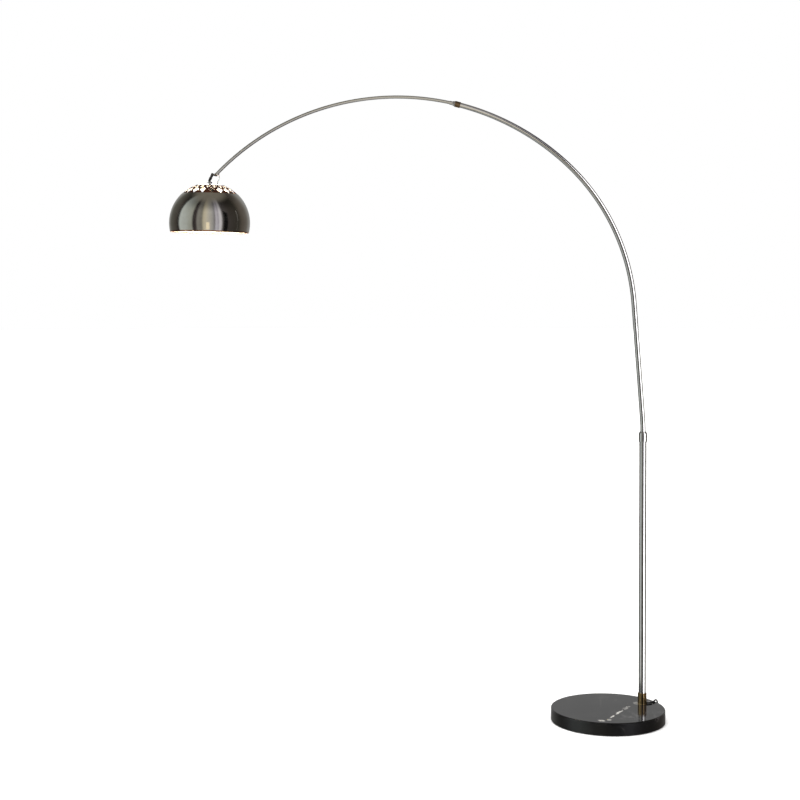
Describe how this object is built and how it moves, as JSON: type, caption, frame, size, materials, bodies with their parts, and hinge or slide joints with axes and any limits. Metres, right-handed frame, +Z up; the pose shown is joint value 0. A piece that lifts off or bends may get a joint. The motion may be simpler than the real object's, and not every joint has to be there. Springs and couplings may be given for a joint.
{
  "type": "arc floor lamp",
  "caption": "Floor lamp whose sliding bent arm reaches from a post on a round marble base to a pierced dome shade.",
  "frame": {"origin": "centre of the base's underside, on the floor", "axes": "+Z up, +X from the shade towards the post, +Y to the back where the cord lies"},
  "size_m": [1.5285, 0.433, 1.9272],
  "materials": {
    "bakelite": "moulded",
    "black_marble": "polished, with pale veins",
    "black_plastic": "moulded",
    "black_pvc": "smooth",
    "black_rubber": "matt",
    "brass": "polished",
    "brass_contact": "bright",
    "bright_nickel": "polished nickel plate",
    "bronze": "dark bronze",
    "brown_bronze": "dark brown plated",
    "bulb_cap_metal": "bright",
    "clear_plastic": "translucent",
    "copper_rim": "red-brown rolled edge",
    "dark_nickel": "spun and dark nickel plated",
    "dark_steel": "blackened",
    "felt": "felt",
    "nylon": "natural nylon",
    "opal_glass": "opal",
    "satin_nickel": "satin nickel plate",
    "zinc_steel": "zinc plated"
  },
  "bodies": {
    "base": {"felt_pad": "felt", "marble_base": "black_marble", "clamp_washer": "zinc_steel", "clamp_nut": "zinc_steel", "tie_stud": "zinc_steel", "foot_plug": "zinc_steel", "foot_collar": "brass", "foot_grub_screw": "dark_steel", "cord_bush": "black_rubber", "post_tube": "bright_nickel", "swivel_liner": "nylon", "swivel_guide": "nylon", "lock_collar": "bright_nickel", "lock_grub_screw": "dark_steel", "post_flex": "black_pvc", "entry_flex": "black_pvc", "mains_cord": "black_pvc", "mains_cord_middle": "black_pvc", "mains_cord_tail": "black_pvc", "mains_cord_coil": "black_pvc", "coil_tie": "black_rubber", "switch_base": "black_plastic", "switch_cover": "black_plastic", "switch_contact_block": "bakelite", "mains_plug": "black_pvc", "plug_pins": "brass_contact"},
    "lower_arm": {"lower_arm_tube": "bright_nickel", "shoulder_ring": "zinc_steel", "clutch_ring": "bronze", "clutch_cone": "bright_nickel", "clutch_collet": "satin_nickel", "arm_flex": "black_pvc"},
    "reach": {"reach_tube": "satin_nickel", "slider_bush": "nylon", "reach_flex": "black_pvc", "tip_ring": "bronze", "lead_bush": "black_rubber", "tip_knuckle": "dark_steel", "shade_lead": "clear_plastic"},
    "shade": {"swivel_link": "dark_steel", "pivot_screw": "dark_steel", "pivot_nut": "dark_steel", "shade_hub": "bright_nickel", "dome_shell": "dark_nickel", "rim_bead": "copper_rim", "pierced_crown": "brown_bronze", "crown_cap": "bright_nickel", "cap_lead_bush": "clear_plastic", "hollow_nipple": "zinc_steel", "nipple_nut": "zinc_steel", "lampholder_cap": "bakelite", "lampholder_shell": "bakelite", "lampholder_ring": "bakelite", "lampholder_contact": "brass_contact", "lampholder_screw": "brass_contact", "bulb_cap": "bulb_cap_metal", "bulb_glass": "opal_glass"},
    "foot_button": {"switch_button": "black_plastic"}
  },
  "joints": [
    {"name": "arm_swivel", "type": "hinge", "parent": "base", "child": "lower_arm", "pos_m": [0.112, 0.044, 0.85], "axis": [0, 0, 1], "range_deg": [-160, 160]},
    {"name": "arm_extend", "type": "hinge", "parent": "lower_arm", "child": "reach", "pos_m": [-0.64993, 0.044, 1.14919], "axis": [0, -1, 0], "range_deg": [-12, 9]},
    {"name": "shade_tilt", "type": "hinge", "parent": "reach", "child": "shade", "pos_m": [-1.22015, 0.044, 1.68328], "axis": [0, 1, 0], "range_deg": [-35, 35], "deforming": ["shade_lead"]},
    {"name": "foot_switch_press", "type": "slide", "parent": "base", "child": "foot_button", "axis": [0, 0, -1], "range_m": [0, 0.003], "stiffness_N_per_m": 900}
  ]
}
